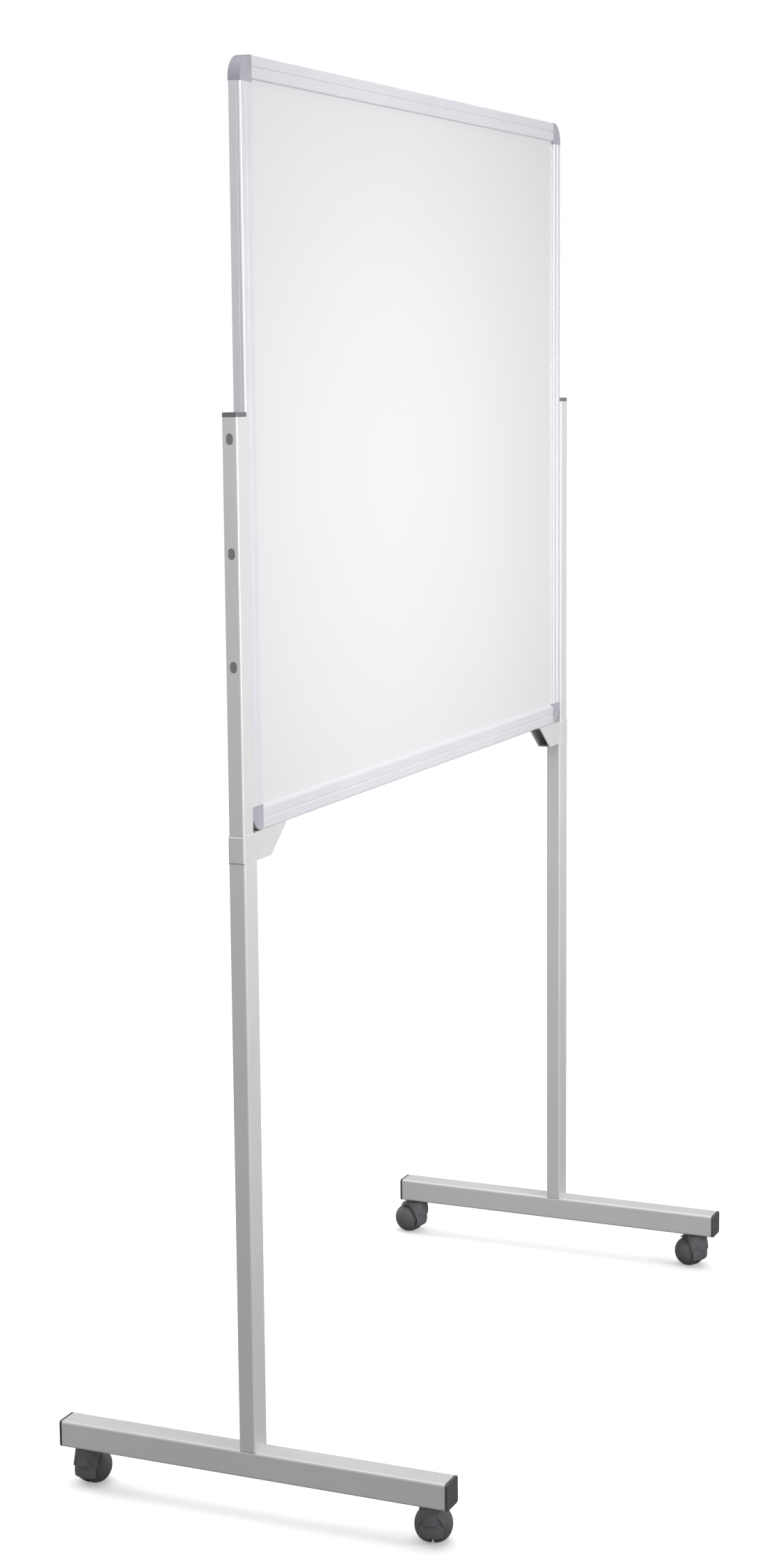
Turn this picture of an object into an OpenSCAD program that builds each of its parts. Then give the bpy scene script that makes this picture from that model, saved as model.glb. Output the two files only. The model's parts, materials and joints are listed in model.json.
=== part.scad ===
// Rolling whiteboard: a framed writing board held between two posts on castered feet.
// X runs across the board, the writing side faces -Y, and Z is up from the floor.

/* [Board] */
// Width of the board over its frame
board_w = 1200; // [900:10:1800]
// Height of the board over its frame
board_h = 1000; // [700:10:1200]
// Height of the board's lower edge above the floor
board_bottom = 948; // [700:1:1100]
// Thickness of the panel that the frame holds
panel_t = 12; // [10:0.5:12]
// Thickness of each steel facing sheet
sheet_t = 0.8; // [0.5:0.1:1.2]
// Depth of the frame from front to back
frame_d = 18; // [18:0.5:22]
// Width of the frame's face
face_w = 30; // [28:1:36]
// Size of the square corner pieces
corner_size = 34; // [33:1:45]
// Outer radius of the corner pieces
corner_r = 30; // [15:1:32]

/* [Posts] */
// Width of the upper posts, along X
upper_w = 30; // [24:1:36]
// Depth of the upper posts, along Y
upper_d = 22; // [20:0.5:24]
// Height of the post tops, with their caps
post_top = 1498; // [1450:1:1600]
// Width of the lower posts, along X
lower_w = 38; // [36:1:45]
// Depth of the lower posts, along Y
lower_d = 24; // [22:0.5:30]
// Wall of the post tubes
post_wall = 1.5; // [1:0.1:2]
// Height of the lowest board screw
screw_z = 1170; // [1100:1:1200]
// Distance between the board screws
screw_pitch = 147; // [100:1:150]

/* [Brackets] */
// Height of the brackets under the board
bracket_h = 38; // [30:1:45]
// Length of the bracket arm along the board's lower edge
arm_top = 102; // [80:1:130]
// Length of the bracket arm at its underside
arm_bottom = 53; // [40:1:70]
// Depth of the bracket arm
arm_d = 21; // [16:0.5:22]

/* [Feet] */
// Length of each foot over its end caps
foot_len = 586; // [560:2:700]
// Width and height of the square foot tube
foot_size = 38; // [34:1:45]
// Height of the feet above the floor
foot_z = 62; // [62:1:70]
// Distance of each caster stem from the middle of the foot
caster_y = 262; // [180:1:265]

/* [Casters] */
// Radius of the wheels
wheel_r = 25; // [20:1:25]
// Width of each wheel
wheel_w = 24; // [20:1:25]
// Distance of the axle from the stem
trail = 22; // [20:1:24]

/* [Hidden] */
$fn = 64;
SIDES = [["left", -1], ["right", 1]];
ENDS = [["front", -1], ["back", 1]];
LEVELS = [["top", 1], ["bottom", -1]];
// Name, side, end and heading of each caster. The axle trails the stem along the heading
CASTERS = [
  ["left_front", -1, -1, 14],
  ["left_back", -1, 1, 2],
  ["right_front", 1, -1, 60],
  ["right_back", 1, 1, 78],
];
WHEELS = [["inner", -1], ["outer", 1]];

half_w = board_w / 2;
half_h = board_h / 2;
mid_z = board_bottom + half_h;
// The facing of the panel lies this far behind the frame's front
recess = 3.5;
panel_y = -frame_d / 2 + recess;
// How far the panel's edges sit in from the outside of the frame
channel = 9;
// The hollow inside the frame's section: its start, its width, and the walls behind and before it
chamber_x = 1.6;
chamber_w = 5.8;
chamber_back = 3;
chamber_front = 4.5;
chamber_d = frame_d - chamber_back - chamber_front;
tongue_l = 30;

outer_x = half_w + upper_w;
upper_x = half_w + upper_w / 2;
lower_x = outer_x - lower_w / 2;
bracket_top = board_bottom;
bracket_z = bracket_top - bracket_h;
foot_top = foot_z + foot_size;
post_round = 3;
upper_round = 2.5;
cap_t = 6;
fit = 0.2;
// What a spigot or plug is smaller than the tube around it
slim = 2 * (post_wall + fit);

cap_tongue = 14;

screw_r = 2.1;
screw_in = 8;
back_screw_l = 11;
head_r = 4.6;
head_t = 2.6;
socket_r = 2;
slot_w = 10;
slot_h = 15;
// How far a slot plug reaches inside the wall, how wide its lip is, and how far its face is sunk
plug_in = 3;
plug_lip = 0.7;
plug_sunk = 0.4;
arm_wall = 2.2;
lower_spigot = 50;
upper_spigot = 40;
plug_h = 40;
bolt_r = 4;
bolt_gap = 18;
bolt_in = 27;
bolt_head_r = 7.2;
bolt_head_t = 5.3;
foot_wall = 2;
foot_round = 4;
foot_cap_t = 4;
stem_r = 5;
stem_top = foot_z + 14;
stem_low = 46.5;
nut_r = 9.6;
nut_t = 8;
washer_r = 9;
washer_t = 2;
hood_top = foot_z - washer_t - 0.4;
boss_r = 13;
axle_r = 3;
axle_l = 40;
web_t = 3.5;
wheel_gap = 0.4;
wheel_clear = 1.2;
hood_wall = 4;
// The hood's dome would reach this far to each side if it were whole
hood_reach = 33;

module on_side(s) mirror([s < 0 ? 1 : 0, 0, 0]) children();

module round_rect(w, d, r) {
  square([w - 2 * r, d], center = true);
  square([w, d - 2 * r], center = true);
  for (x = [-1, 1], y = [-1, 1]) translate([x * (w / 2 - r), y * (d / 2 - r)]) circle(r);
}

module tube(w, d, wall, r, length) linear_extrude(length) difference() {
  round_rect(w, d, r);
  round_rect(w - 2 * wall, d - 2 * wall, max(r - wall, 0.5));
}

// Extrudes an outline drawn in X and Z by a depth centred on Y = 0
module upright(depth) rotate([90, 0, 0]) linear_extrude(depth, center = true) children();

function arc(x, y, r, from, to) = [for (i = [0:6]) let (a = from + (to - from) * i / 6)
  [x + r * cos(a), y + r * sin(a)]];

// ---- Board ----

module panel_layer(from, thick) translate([-half_w + channel, panel_y + from, board_bottom + channel])
  cube([board_w - 2 * channel, thick, board_h - 2 * channel]);

module writing_sheet() color("white") panel_layer(0, sheet_t);

module board_core() color("burlywood") panel_layer(sheet_t, panel_t - 2 * sheet_t);

module back_sheet() color("lightgrey") panel_layer(panel_t - sheet_t, sheet_t);

// Section of the frame: X inwards from the outer edge and Y towards the front
module frame_section() {
  front = frame_d / 2;
  lip = front - recess;
  back = lip - panel_t;
  mid = face_w / 2;
  bead = 2.5;
  // The groove along the face: its half width, the slope of its sides, and its depth
  groove = 1.8;
  slope = 1;
  groove_t = 1.2;
  // The cove along the outer side: where it starts and ends behind the front, and its depth
  cove = 3.2;
  cove_end = 6.1;
  cove_t = 0.9;
  difference() {
    polygon(concat(
      [[0, -front + 1], [1, -front], [face_w - 1, -front], [face_w, -front + 1], [face_w, back]],
      [[channel, back], [channel, lip], [face_w, lip]],
      arc(face_w - bead, front - bead, bead, 0, 90),
      [[mid + groove, front], [mid + groove - slope, front - groove_t]],
      [[mid - groove + slope, front - groove_t], [mid - groove, front]],
      arc(bead, front - bead, bead, 90, 180),
      [[0, front - cove], [cove_t, front - cove - cove_t]],
      [[cove_t, front - cove_end + cove_t], [0, front - cove_end]]
    ));
    translate([chamber_x, -front + chamber_back]) square([chamber_w, chamber_d]);
  }
}

// A rail lies along the lower edge and is then turned about the board's middle
module rail(turn, reach, length) color("gainsboro") translate([0, 0, mid_z]) rotate([0, turn, 0])
  translate([0, 0, -reach]) rotate([0, -90, 180]) linear_extrude(length, center = true) frame_section();

module frame_top() rail(180, half_h, board_w - 2 * corner_size);

module frame_bottom() rail(0, half_h, board_w - 2 * corner_size);

module side_rail(s) difference() {
  rail(s < 0 ? 90 : 270, half_w, board_h - 2 * corner_size);
  on_side(s) screw_holes(screw_r + 0.05, half_w - screw_in - 0.6, screw_in + 2);
}

module frame_left() side_rail(-1);

module frame_right() side_rail(1);

module corner_outline() intersection() {
  translate([half_w - corner_size, half_h - corner_size]) square(corner_size);
  union() {
    translate([half_w - corner_r, half_h - corner_r]) circle(corner_r);
    translate([half_w - 2 * corner_size, half_h - 2 * corner_size])
      square([2 * corner_size - corner_r, 2 * corner_size]);
    translate([half_w - 2 * corner_size, half_h - 2 * corner_size])
      square([2 * corner_size, 2 * corner_size - corner_r]);
  }
}

module corner_tongue() translate([half_w - corner_size - tongue_l, chamber_front - frame_d / 2 + fit / 2,
                                  half_h - chamber_x - chamber_w + fit / 2])
  cube([tongue_l + 1, chamber_d - fit, chamber_w - fit]);

module corner(l, s) color("lightslategrey") translate([0, 0, mid_z])
  mirror([0, 0, l < 0 ? 1 : 0]) on_side(s) {
    difference() {
      upright(frame_d) corner_outline();
      translate([-half_w + channel, panel_y, -half_h + channel])
        cube([board_w - 2 * channel, panel_t, board_h - 2 * channel]);
    }
    corner_tongue();
    // The second tongue is the first one reflected in the corner's diagonal
    translate([half_w - half_h, 0, half_h - half_w]) mirror([1, 0, -1]) corner_tongue();
  }

// ---- Posts ----

module screw_holes(r, from, length) for (i = [0:2])
  translate([from, 0, screw_z + i * screw_pitch]) rotate([0, 90, 0]) cylinder(r = r, h = length);

module upper_post(s) color("silver") on_side(s) difference() {
  translate([upper_x, 0, bracket_top]) tube(upper_w, upper_d, post_wall, upper_round,
                                            post_top - cap_t - bracket_top);
  screw_holes(screw_r + 0.2, half_w - 1, 2 * post_wall);
  slots(2 * post_wall, 3 * post_wall, 0);
  translate([upper_x, 0, bracket_top + upper_spigot / 2]) back_screw_hole();
}

// Bodies of slot shape, from a depth inside the post's outer side, and grown on all sides
module slots(depth, length, grow) for (i = [0:2]) translate([outer_x - depth, 0, screw_z + i * screw_pitch])
  rotate([0, 90, 0]) linear_extrude(length) {
    square([slot_h - slot_w, slot_w + 2 * grow], center = true);
    for (e = [-1, 1]) translate([e * (slot_h - slot_w) / 2, 0]) circle(slot_w / 2 + grow);
  }

module slot_plugs(s) color("grey") on_side(s) {
  slots(post_wall + plug_in, post_wall + plug_in - plug_sunk, -0.05);
  slots(post_wall + plug_in, plug_in, plug_lip);
}

module back_screw_hole() rotate([-90, 0, 0]) cylinder(r = screw_r + 0.1, h = 30);

module post_cap(s) color("dimgrey") on_side(s) translate([upper_x, 0, post_top - cap_t]) {
  linear_extrude(cap_t) round_rect(upper_w, upper_d, upper_round);
  translate([0, 0, -cap_tongue]) linear_extrude(cap_tongue + 1) round_rect(upper_w - slim, upper_d - slim, 1);
}

// A screw that points down, with the underside of its head at Z = 0
module screw(reach) {
  difference() {
    cylinder(r = head_r, h = head_t);
    translate([0, 0, head_t / 2]) cylinder(r = socket_r, h = head_t);
  }
  translate([0, 0, -reach]) cylinder(r = screw_r, h = reach + head_t / 4);
}

module board_screws(s) color("silver") on_side(s) for (i = [0:2])
  translate([half_w + post_wall, 0, screw_z + i * screw_pitch]) rotate([0, 90, 0])
    screw(post_wall + screw_in);

module lower_post(s) color("silver") on_side(s) difference() {
  translate([lower_x, 0, foot_top]) tube(lower_w, lower_d, post_wall, post_round, bracket_z - foot_top);
  translate([lower_x, 0, bracket_z - lower_spigot / 2]) back_screw_hole();
}

// ---- Brackets ----

module arm_outline() polygon([[half_w + 2, bracket_z], [half_w + 2, bracket_top],
  [half_w - arm_top, bracket_top], [half_w - arm_bottom, bracket_z]]);

// The hollow runs out through the sloping end, parallel to it and past it
module arm_hollow_outline() polygon([[half_w - 1, bracket_z + arm_wall], [half_w - 1, bracket_top - arm_wall],
  [half_w - arm_top - 20, bracket_top - arm_wall], [half_w - arm_bottom - 20, bracket_z + arm_wall]]);

// The collar stands a little proud of the posts, with a chamfer along its top and bottom
module bracket_collar() {
  proud = 1.2;
  edge = 2.4;
  difference() {
    translate([0, 0, bracket_z]) linear_extrude(bracket_h) union() {
      translate([upper_x + proud / 2, 0]) round_rect(upper_w + proud, lower_d, post_round);
      translate([half_w, -lower_d / 2]) square([upper_w / 2, lower_d]);
    }
    for (top = [0, 1]) translate([outer_x + proud, 0, top ? bracket_top : bracket_z]) rotate([0, 45, 0])
      cube([edge * sqrt(2), lower_d + 2, edge * sqrt(2)], center = true);
  }
}

module bracket(s) color("silver") on_side(s) difference() {
  union() {
    difference() {
      upright(arm_d) arm_outline();
      upright(arm_d - 2 * arm_wall) arm_hollow_outline();
    }
    bracket_collar();
    translate([lower_x, 0, bracket_z - lower_spigot]) linear_extrude(lower_spigot + 1)
      round_rect(lower_w - slim, lower_d - slim, 1.2);
    translate([upper_x, 0, bracket_top - 1]) linear_extrude(upper_spigot + 1)
      round_rect(upper_w - slim, upper_d - slim, 1);
  }
  translate([lower_x, 0, bracket_z - lower_spigot / 2]) back_screw_hole();
  translate([upper_x, 0, bracket_top + upper_spigot / 2]) back_screw_hole();
}

module bracket_screws(s) color("silver") on_side(s) {
  translate([lower_x, lower_d / 2, bracket_z - lower_spigot / 2]) rotate([-90, 0, 0]) screw(back_screw_l);
  translate([upper_x, upper_d / 2, bracket_top + upper_spigot / 2]) rotate([-90, 0, 0]) screw(back_screw_l);
}

// ---- Feet ----

module along_y(length) rotate([90, 0, 0]) translate([0, 0, -length / 2]) children();

module foot_bar(s) color("silver") on_side(s) difference() {
  bar = foot_len - 2 * foot_cap_t;
  translate([lower_x, 0, foot_z + foot_size / 2]) along_y(bar)
    tube(foot_size, foot_size, foot_wall, foot_round, bar);
  for (x = [-1, 1]) translate([lower_x + x * bolt_gap / 2, 0, 0]) {
    translate([0, 0, foot_z + foot_size / 2]) cylinder(r = bolt_r + 0.2, h = foot_size);
    translate([0, 0, foot_z - 1]) cylinder(r = 2 * bolt_r, h = foot_size / 2);
  }
  for (e = [-1, 1]) translate([lower_x, e * caster_y, foot_z - 1]) cylinder(r = stem_r + 0.2, h = 5);
}

module foot_cap(s, e) color("dimgrey") on_side(s) translate([lower_x, 0, foot_z + foot_size / 2])
  mirror([0, e < 0 ? 1 : 0, 0]) translate([0, foot_len / 2, 0]) rotate([90, 0, 0]) {
    linear_extrude(foot_cap_t) round_rect(foot_size, foot_size, foot_round);
    inset = 2 * (foot_wall + fit);
    linear_extrude(foot_cap_t + cap_tongue)
      round_rect(foot_size - inset, foot_size - inset, foot_round - foot_wall - fit);
  }

module post_plug(s) color("dimgrey") on_side(s) translate([lower_x, 0, foot_top]) difference() {
  linear_extrude(plug_h) round_rect(lower_w - slim, lower_d - slim, 1.2);
  for (x = [-1, 1]) translate([x * bolt_gap / 2, 0, -1]) cylinder(r = bolt_r + 0.05, h = bolt_in + 3);
}

module foot_bolts(s) color("grey") on_side(s) for (x = [-1, 1])
  translate([lower_x + x * bolt_gap / 2, 0, foot_top - foot_wall]) {
    translate([0, 0, -bolt_head_t]) difference() {
      cylinder(r = bolt_head_r, h = bolt_head_t, $fn = 6);
      translate([0, 0, -1]) cylinder(r = 3, h = 4);
    }
    translate([0, 0, -1]) cylinder(r = bolt_r, h = foot_wall + bolt_in + 1);
  }

// ---- Casters ----

module at_caster(c) translate([c[1] * lower_x, c[2] * caster_y, 0]) rotate(c[3]) children();

module caster_nuts(s) color("grey") for (e = [-1, 1])
  translate([s * lower_x, e * caster_y, foot_z + foot_wall]) difference() {
    cylinder(r = nut_r, h = nut_t, $fn = 6);
    translate([0, 0, -1]) cylinder(r = stem_r + 0.02, h = nut_t + 2);
  }

module caster_stem(c) color("grey") at_caster(c) {
  translate([0, 0, stem_low + 0.5]) cylinder(r = stem_r, h = stem_top - stem_low);
  translate([0, 0, foot_z - washer_t]) cylinder(r = washer_r, h = washer_t);
}

// Points of a dome: a radius that falls to 0 as the height goes from one value to another
function dome(r, from, to) = [for (i = [0:12]) let (a = 90 * i / 12)
  [r * cos(a), from + (to - from) * sin(a)]];

module hood_dome() for (w = [-90, 90]) rotate([w, 0, 0]) rotate_extrude()
  polygon(concat([[0, -1], [wheel_r, -1]], dome(wheel_r + wheel_clear + hood_wall, 0, hood_reach)));

// The part of the dome that the hood keeps, drawn about the axle with the stem at X = -trail
module hood_side() polygon([[0, 0], [22, 60], [-60, 60], [-60, -22]]);

// The round neck that rises from the dome to the stem
module neck() {
  low_r = 21;
  top_r = 16;
  intersection() {
    upright(2 * low_r) fairing_outline();
    translate([4 - trail, 0, 0]) cylinder(r1 = low_r, r2 = top_r, h = hood_top - wheel_r);
  }
}

module web_outline() {
  circle(8);
  intersection() {
    circle(wheel_r + wheel_clear + 1);
    polygon([[5, -5], [11, 40], [-40, 40], [-40, -6], [-5, -5]]);
  }
}

module fairing_outline() {
  top = hood_top - wheel_r - 1.5;
  polygon([[-trail - 10, top], [-trail - 11, top - 9], [-wheel_r - 1, 6], [0, 20],
    [16, 23], [-trail + 18, top]]);
}

module caster_hood(c) color("dimgrey") at_caster(c) difference() {
  union() {
    difference() {
      union() {
        translate([trail, 0, wheel_r]) {
          intersection() {
            hood_dome();
            upright(2 * wheel_w) hood_side();
          }
          neck();
        }
        translate([0, 0, wheel_r + 10]) cylinder(r = boss_r, h = hood_top - wheel_r - 10);
      }
      translate([trail, 0, wheel_r]) upright(100) circle(wheel_r + wheel_clear);
    }
    translate([trail, 0, wheel_r]) upright(web_t) web_outline();
  }
  translate([0, 0, stem_low]) cylinder(r = stem_r + 0.05, h = 40);
  translate([trail, 0, wheel_r]) upright(2 * web_t) circle(axle_r + 0.02);
}

module caster_axle(c) color("grey") at_caster(c) translate([trail, 0, wheel_r]) rotate([90, 0, 0])
  cylinder(r = axle_r, h = axle_l, center = true);

// Half section of a wheel: X outwards from the axle and Y away from the caster's web
module wheel_section() {
  bore = axle_r + 0.05;
  hub = 8;
  rim = wheel_r - 5;
  hollow = 4;
  cover = wheel_w - 2.2;
  tread = 3.5;
  step = 0.5;
  polygon(concat(
    [[0, cover], [bore, cover], [bore, 0], [hub, 0], [hub, hollow]],
    [[rim, hollow], [rim, 0], [wheel_r - 0.4, 0], [wheel_r, 0.4], [wheel_r, tread]],
    dome(wheel_r - step, tread, wheel_w)
  ));
}

module wheel(c, w) color("dimgrey") at_caster(c) translate([trail, 0, wheel_r])
  rotate([w * -90, 0, 0]) translate([0, 0, web_t / 2 + wheel_gap]) rotate_extrude() wheel_section();

writing_sheet();
board_core();
back_sheet();
frame_top();
frame_bottom();
frame_left();
frame_right();
for (l = LEVELS, s = SIDES) corner(l[1], s[1]);
for (s = SIDES) {
  upper_post(s[1]);
  post_cap(s[1]);
  board_screws(s[1]);
  slot_plugs(s[1]);
  bracket(s[1]);
  bracket_screws(s[1]);
  lower_post(s[1]);
  post_plug(s[1]);
  foot_bolts(s[1]);
  foot_bar(s[1]);
  caster_nuts(s[1]);
  for (e = ENDS) foot_cap(s[1], e[1]);
}
for (c = CASTERS) {
  caster_stem(c);
  caster_hood(c);
  caster_axle(c);
  for (w = WHEELS) wheel(c, w[1]);
}
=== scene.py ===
import json
import math
import bmesh
import bpy
from mathutils import Matrix, Vector

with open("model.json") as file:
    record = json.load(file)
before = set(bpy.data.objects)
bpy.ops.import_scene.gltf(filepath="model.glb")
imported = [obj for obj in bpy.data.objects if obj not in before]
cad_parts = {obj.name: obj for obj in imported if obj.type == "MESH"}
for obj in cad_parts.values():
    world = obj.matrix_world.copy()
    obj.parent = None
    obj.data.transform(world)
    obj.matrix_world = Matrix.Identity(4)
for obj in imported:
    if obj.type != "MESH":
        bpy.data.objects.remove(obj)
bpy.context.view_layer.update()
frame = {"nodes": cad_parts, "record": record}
NODES = frame["nodes"]
SLOT_OF = {part["node"]: part["material_slot"] for part in frame["record"]["subparts"]}


# ---- Materials ----

NOISE_ROUGHNESS = 0.55
BEVEL_SAMPLES = 4
METAL_WEAR_WIDTH = 0.0012  # metres
PLASTIC_WEAR_WIDTH = 0.0009  # metres
WEAR_START, WEAR_FULL = 0.02, 0.25  # how far the rounded normal leans from the flat one
MIX_A, MIX_B, MIX_RESULT = 6, 7, 2  # the Mix node's sockets for colours


class Shader:
    """A node material, built one call at a time."""

    def __init__(self, name, colour, roughness, metallic=0.0, **sockets):
        self.material = bpy.data.materials.new(name)
        self.material.use_nodes = True
        self.tree = self.material.node_tree
        self.surface = self.tree.nodes["Principled BSDF"]
        self.surface.inputs["Base Color"].default_value = (*colour, 1)
        self.surface.inputs["Roughness"].default_value = roughness
        self.surface.inputs["Metallic"].default_value = metallic
        for socket, value in sockets.items():
            self.surface.inputs[socket.replace("_", " ")].default_value = value
        self.place = self.node("ShaderNodeTexCoord").outputs["Object"]
        self.normal = None

    def node(self, kind, **settings):
        made = self.tree.nodes.new(kind)
        for name, value in settings.items():
            setattr(made, name, value)
        return made

    def join(self, source, node, socket):
        if isinstance(source, (int, float)):
            node.inputs[socket].default_value = source
        else:
            self.tree.links.new(source, node.inputs[socket])

    def noise(self, scale, detail, stretch=(1, 1, 1), distortion=0.0):
        spread = self.node("ShaderNodeMapping")
        spread.inputs["Scale"].default_value = stretch
        self.join(self.place, spread, "Vector")
        made = self.node("ShaderNodeTexNoise")
        made.inputs["Scale"].default_value = scale
        made.inputs["Detail"].default_value = detail
        made.inputs["Roughness"].default_value = NOISE_ROUGHNESS
        made.inputs["Distortion"].default_value = distortion
        self.join(spread.outputs["Vector"], made, "Vector")
        return made.outputs["Fac"]

    def spread(self, value, low, high, start=0.3, end=0.7):
        made = self.node("ShaderNodeMapRange")
        self.join(value, made, "Value")
        limits = {"From Min": start, "From Max": end, "To Min": low, "To Max": high}
        for socket, number in limits.items():
            made.inputs[socket].default_value = number
        return made.outputs["Result"]

    def maths(self, operation, a, b):
        made = self.node("ShaderNodeMath", operation=operation)
        self.join(a, made, 0)
        self.join(b, made, 1)
        return made.outputs["Value"]

    def blend(self, share, a, b):
        made = self.node("ShaderNodeMix", data_type="RGBA")
        self.join(share, made, 0)
        for socket, colour in ((MIX_A, a), (MIX_B, b)):
            if isinstance(colour, tuple):
                made.inputs[socket].default_value = (*colour, 1)
            else:
                self.tree.links.new(colour, made.inputs[socket])
        return made.outputs[MIX_RESULT]

    def edge(self, width=METAL_WEAR_WIDTH):
        """Near 1 on worn edges and 0 on flats."""
        soft = self.node("ShaderNodeBevel", samples=BEVEL_SAMPLES)
        soft.inputs["Radius"].default_value = width
        flat = self.node("ShaderNodeNewGeometry")
        dot = self.node("ShaderNodeVectorMath", operation="DOT_PRODUCT")
        self.tree.links.new(soft.outputs["Normal"], dot.inputs[0])
        self.tree.links.new(flat.outputs["Normal"], dot.inputs[1])
        lean = self.maths("SUBTRACT", 1.0, dot.outputs["Value"])
        return self.spread(lean, 0, 1, WEAR_START, WEAR_FULL)

    def bump(self, height, strength, distance):
        made = self.node("ShaderNodeBump")
        made.inputs["Strength"].default_value = strength
        made.inputs["Distance"].default_value = distance
        self.join(height, made, "Height")
        if self.normal is not None:
            self.tree.links.new(self.normal, made.inputs["Normal"])
        self.normal = made.outputs["Normal"]

    def done(self, colour, roughness):
        self.tree.links.new(colour, self.surface.inputs["Base Color"])
        self.tree.links.new(roughness, self.surface.inputs["Roughness"])
        if self.normal is not None:
            self.tree.links.new(self.normal, self.surface.inputs["Normal"])
        return self.material


def enamel():
    """Glossy white enamel, softly clouded, with uneven gloss and a fine orange peel."""
    s = Shader("white_enamel", (0.70, 0.71, 0.715), 0.29, Coat_Weight=0.25, Coat_Roughness=0.2)
    clouds = s.noise(2.2, 2)
    wiped = s.noise(3, 2, stretch=(1, 1, 2))
    s.bump(s.noise(150, 1), 0.015, 0.0001)
    tint = s.blend(s.spread(clouds, 0, 1, 0, 1), (0.655, 0.665, 0.67), (0.685, 0.69, 0.70))
    return s.done(tint, s.spread(wiped, 0.26, 0.34, 0, 1))


def backing():
    """Satin painted steel on the hidden side."""
    s = Shader("back_paint", (0.6, 0.61, 0.62), 0.45)
    s.bump(s.noise(650, 2), 0.12, 0.0002)
    tint = s.blend(s.spread(s.noise(3, 3), 0, 1), (0.575, 0.585, 0.595), (0.63, 0.64, 0.65))
    return s.done(tint, s.spread(s.noise(14, 4), 0.38, 0.52))


def anodised(name, along):
    """Pale anodised extrusion, drawn along one axis, with faint lines and bright worn edges."""
    s = Shader(name, (0.78, 0.78, 0.82), 0.42, 0.3)
    stretch = tuple(0.02 if axis == along else 1 for axis in range(3))
    lines = s.noise(900, 3, stretch=stretch)
    tint = s.blend(s.spread(s.noise(6, 3), 0, 1), (0.725, 0.725, 0.77), (0.765, 0.765, 0.80))
    lined = s.blend(s.spread(lines, 0, 0.35), tint, (0.665, 0.665, 0.715))
    s.bump(lines, 0.10, 0.0002)
    return s.done(s.blend(s.spread(s.edge(), 0, 0.4, 0, 1), lined, (0.84, 0.84, 0.865)),
                  s.maths("ADD", s.spread(s.noise(18, 3), 0.38, 0.48), s.spread(lines, -0.03, 0.05)))


def powder_coat():
    """Satin silver-grey powder coat over steel tube, with handling marks and rubbed edges."""
    s = Shader("silver_powder_coat", (0.73, 0.735, 0.73), 0.36, 0.25)
    grain = s.noise(1500, 2)
    patches = s.noise(5, 4)
    flakes = s.noise(2600, 1)
    base = s.blend(s.spread(patches, 0, 1), (0.705, 0.715, 0.705), (0.755, 0.757, 0.752))
    flaked = s.blend(s.spread(flakes, 0, 0.3, 0.5, 0.75), base, (0.82, 0.83, 0.82))
    s.bump(grain, 0.10, 0.0002)
    return s.done(s.blend(s.spread(s.edge(), 0, 0.55, 0, 1), flaked, (0.84, 0.845, 0.84)),
                  s.maths("ADD", s.spread(s.noise(26, 4, distortion=0.5), 0.30, 0.42),
                          s.spread(grain, -0.03, 0.03)))


def moulded(name, dark, light, smoothest, roughest, grain_size, wear):
    """Moulded plastic with a spark-eroded grain, dusty mottling and paler rubbed edges."""
    s = Shader(name, dark, (smoothest + roughest) / 2)
    grain = s.noise(grain_size, 3)
    mottled = s.blend(s.spread(s.noise(30, 5), 0, 1), dark, light)
    s.bump(grain, 0.22, 0.0003)
    worn = s.blend(s.spread(s.edge(PLASTIC_WEAR_WIDTH), 0, 0.6, 0, 1), mottled, wear)
    return s.done(worn, s.maths("ADD", s.spread(s.noise(45, 4), smoothest, roughest),
                                s.spread(grain, -0.04, 0.04)))


def plated(name, colour):
    """Zinc-plated steel, slightly blotched."""
    s = Shader(name, colour, 0.3, 0.9)
    s.bump(s.noise(1400, 3), 0.12, 0.0001)
    dull = tuple(0.8 * c for c in colour)
    return s.done(s.blend(s.spread(s.noise(160, 4), 0, 1), dull, colour),
                  s.spread(s.noise(220, 4), 0.22, 0.42))


def cardboard():
    """Raw honeycomb board inside the panel."""
    s = Shader("core_board", (0.48, 0.34, 0.2), 0.9)
    s.bump(s.noise(300, 4), 0.4, 0.0006)
    tint = s.blend(s.spread(s.noise(120, 5), 0, 1), (0.42, 0.30, 0.17), (0.55, 0.41, 0.26))
    return s.done(tint, s.spread(s.noise(60, 3), 0.8, 0.95))


MATERIALS = {
    "writing_surface": enamel(),
    "core": cardboard(),
    "backing": backing(),
    "frame": anodised("anodised_across", 0),
    "frame_upright": anodised("anodised_upright", 2),
    "corner_plastic": moulded("corner_plastic", (0.36, 0.355, 0.405), (0.42, 0.415, 0.465),
                              0.28, 0.42, 900, (0.58, 0.575, 0.62)),
    "tube": powder_coat(),
    "cap_plastic": moulded("cap_plastic", (0.068, 0.066, 0.072), (0.09, 0.088, 0.095),
                           0.38, 0.55, 1300, (0.24, 0.24, 0.25)),
    "post_cap": moulded("post_cap_plastic", (0.15, 0.148, 0.158), (0.185, 0.183, 0.193),
                        0.38, 0.55, 1300, (0.3, 0.3, 0.31)),
    "plug_plastic": moulded("plug_plastic", (0.2, 0.198, 0.208), (0.25, 0.248, 0.258),
                            0.4, 0.55, 1200, (0.4, 0.4, 0.41)),
    "screws": plated("zinc_screws", (0.50, 0.50, 0.51)),
    "caster_steel": plated("caster_steel", (0.58, 0.58, 0.59)),
    "hood_plastic": moulded("hood_plastic", (0.135, 0.129, 0.142), (0.175, 0.168, 0.182),
                            0.35, 0.52, 1500, (0.2, 0.195, 0.21)),
    "wheel_plastic": moulded("wheel_plastic", (0.11, 0.107, 0.111), (0.145, 0.142, 0.144),
                             0.42, 0.6, 1100, (0.2, 0.198, 0.195)),
}


# ---- Frame nodes ----

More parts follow.
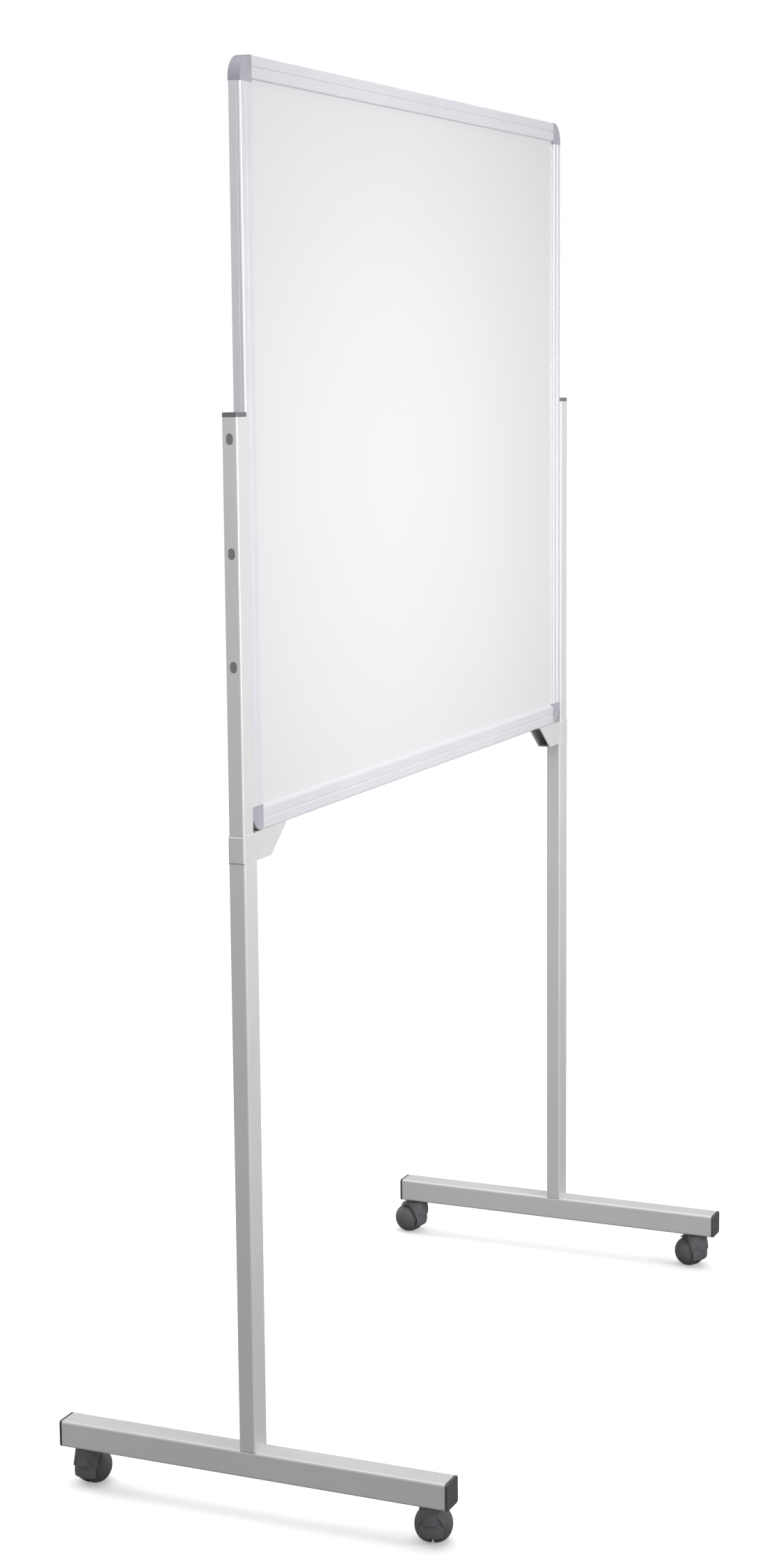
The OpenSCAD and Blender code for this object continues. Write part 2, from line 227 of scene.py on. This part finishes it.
# Nodes whose look differs from the rest of their slot
LOOKS = {"frame_left": "frame_upright", "frame_right": "frame_upright",
         "post_cap_left": "post_cap", "post_cap_right": "post_cap"}

# How far each slot's edges are rounded, in metres
ROUNDING = {"frame": 0.0004, "plug_plastic": 0.0003, "corner_plastic": 0.0012, "tube": 0.0004,
            "cap_plastic": 0.0008, "screws": 0.0003, "caster_steel": 0.0004,
            "wheel_plastic": 0.0006, "hood_plastic": 0.0008, "writing_surface": 0.0001,
            "backing": 0.0002, "core": 0.0001}
ROUNDING_SEGMENTS = 3
WELD_REACH = 1e-6  # metres
FLAT_ANGLE = math.radians(0.05)  # faces closer than this are one flat face
EDGE_ANGLE = math.radians(28)  # edges sharper than this are rounded
FACE_WEIGHT = 60


def soften(piece, width):
    """Rounds a piece's edges and evens out its normals."""
    piece.modifiers.new("weld", "WELD").merge_threshold = WELD_REACH
    flatten = piece.modifiers.new("flatten", "DECIMATE")
    flatten.decimate_type = "DISSOLVE"
    flatten.angle_limit = FLAT_ANGLE
    rounding = piece.modifiers.new("rounding", "BEVEL")
    rounding.width = width
    rounding.segments = ROUNDING_SEGMENTS
    rounding.limit_method = "ANGLE"
    rounding.angle_limit = EDGE_ANGLE
    rounding.harden_normals = False
    weighted = piece.modifiers.new("weighted", "WEIGHTED_NORMAL")
    weighted.keep_sharp = False
    weighted.weight = FACE_WEIGHT


for name, piece in NODES.items():
    slot = SLOT_OF[name]
    piece.data.materials.clear()
    piece.data.materials.append(MATERIALS[LOOKS.get(name, slot)])
    soften(piece, ROUNDING[slot])


# ---- Stage, lights and camera ----

FLOOR_RADIUS, FLOOR_SIDES = 10, 96
FLOOR_SEEN = (0.95, 0.95, 0.95)
FLOOR_BOUNCE = (0.25, 0.25, 0.25)
FLOOR_GLOW = 0.3
FADE_START, FADE_END = 2.5, 9  # metres from the middle

BACKDROP_LIGHT, BACKDROP_SEEN = 0.45, 1.0
# Name, place, target and size in metres, power in watts, spread in degrees
AREA_LIGHTS = (
    ("key", (-0.6, -3.2, 1.7), (0.05, 0, 1.3), (1.2, 1.0), 14, 60),
    ("side", (-3.2, -0.4, 2.9), (-0.6, 0, 1.7), (1.2, 1.2), 4.5, 70),
    ("back_fill", (0.6, 3.4, 1.9), (0, 0, 1.2), (1.6, 1.4), 9, 100),
)
OVERHEAD_POWER = 1.25
OVERHEAD_SOFTNESS = math.radians(50)

CAMERA_PLACE = Vector((-3.7651, -1.5686, 1.5583))
CAMERA_YAW = math.radians(66.484)  # from +y towards +x
CAMERA_PITCH = math.radians(-8.811)
CAMERA_ROLL = math.radians(-0.533)
CAMERA_LENS = 62.30  # millimetres, on a sensor of SENSOR_HEIGHT
SENSOR_HEIGHT = 36


def floor_material():
    """Pale matt floor, fading into the backdrop and seen whiter than it lights the object."""
    s = Shader("pale_floor", FLOOR_SEEN, 0.7, Emission_Color=(1, 1, 1, 1))
    seen = s.node("ShaderNodeLightPath").outputs["Is Camera Ray"]
    tint = s.blend(seen, FLOOR_BOUNCE, FLOOR_SEEN)
    s.join(s.maths("MULTIPLY", seen, FLOOR_GLOW), s.surface, "Emission Strength")
    length = s.node("ShaderNodeVectorMath", operation="LENGTH")
    s.tree.links.new(s.place, length.inputs[0])
    clear = s.node("ShaderNodeBsdfTransparent")
    fade = s.node("ShaderNodeMixShader")
    s.join(s.spread(length.outputs["Value"], 0, 1, FADE_START, FADE_END), fade, 0)
    s.tree.links.new(s.surface.outputs["BSDF"], fade.inputs[1])
    s.tree.links.new(clear.outputs["BSDF"], fade.inputs[2])
    s.tree.links.new(fade.outputs["Shader"], s.tree.nodes["Material Output"].inputs["Surface"])
    return s.done(tint, s.spread(s.noise(3, 3), 0.6, 0.8))


def floor():
    mesh = bpy.data.meshes.new("floor")
    form = bmesh.new()
    bmesh.ops.create_circle(form, cap_ends=True, radius=FLOOR_RADIUS, segments=FLOOR_SIDES)
    form.to_mesh(mesh)
    form.free()
    made = bpy.data.objects.new("floor", mesh)
    bpy.context.collection.objects.link(made)
    made.data.materials.append(floor_material())


def area_light(name, place, target, size, power, spread):
    data = bpy.data.lights.new(name, "AREA")
    data.shape = "RECTANGLE"
    data.size, data.size_y = size
    data.energy = power
    data.spread = math.radians(spread)
    made = bpy.data.objects.new(name, data)
    bpy.context.collection.objects.link(made)
    made.location = place
    towards = Vector(target) - Vector(place)
    made.rotation_euler = towards.to_track_quat("-Z", "Y").to_euler()


def studio():
    world = bpy.data.worlds.new("studio")
    bpy.context.scene.world = world
    world.use_nodes = True
    tree = world.node_tree
    air = tree.nodes["Background"]
    air.inputs["Color"].default_value = (1, 1, 1, 1)
    air.inputs["Strength"].default_value = BACKDROP_LIGHT
    seen = tree.nodes.new("ShaderNodeBackground")
    seen.inputs["Color"].default_value = (1, 1, 1, 1)
    seen.inputs["Strength"].default_value = BACKDROP_SEEN
    path = tree.nodes.new("ShaderNodeLightPath")
    mix = tree.nodes.new("ShaderNodeMixShader")
    tree.links.new(path.outputs["Is Camera Ray"], mix.inputs[0])
    tree.links.new(air.outputs["Background"], mix.inputs[1])
    tree.links.new(seen.outputs["Background"], mix.inputs[2])
    tree.links.new(mix.outputs["Shader"], tree.nodes["World Output"].inputs["Surface"])
    for light in AREA_LIGHTS:
        area_light(*light)
    overhead = bpy.data.lights.new("overhead", "SUN")
    overhead.energy = OVERHEAD_POWER
    overhead.angle = OVERHEAD_SOFTNESS
    bpy.context.collection.objects.link(bpy.data.objects.new("overhead", overhead))


def camera():
    data = bpy.data.cameras.new("camera")
    data.sensor_fit = "VERTICAL"
    data.sensor_height = SENSOR_HEIGHT
    data.lens = CAMERA_LENS
    made = bpy.data.objects.new("camera", data)
    bpy.context.collection.objects.link(made)
    forward = Vector((math.sin(CAMERA_YAW) * math.cos(CAMERA_PITCH),
                      math.cos(CAMERA_YAW) * math.cos(CAMERA_PITCH), math.sin(CAMERA_PITCH)))
    level = Vector((math.cos(CAMERA_YAW), -math.sin(CAMERA_YAW), 0))
    up = level.cross(forward)
    across = math.cos(CAMERA_ROLL) * level + math.sin(CAMERA_ROLL) * up
    upright = math.cos(CAMERA_ROLL) * up - math.sin(CAMERA_ROLL) * level
    turn = Matrix((across, upright, -forward)).transposed().to_4x4()
    made.matrix_world = Matrix.Translation(CAMERA_PLACE) @ turn
    bpy.context.scene.camera = made


floor()
studio()
camera()
bpy.context.scene.view_settings.view_transform = "Standard"
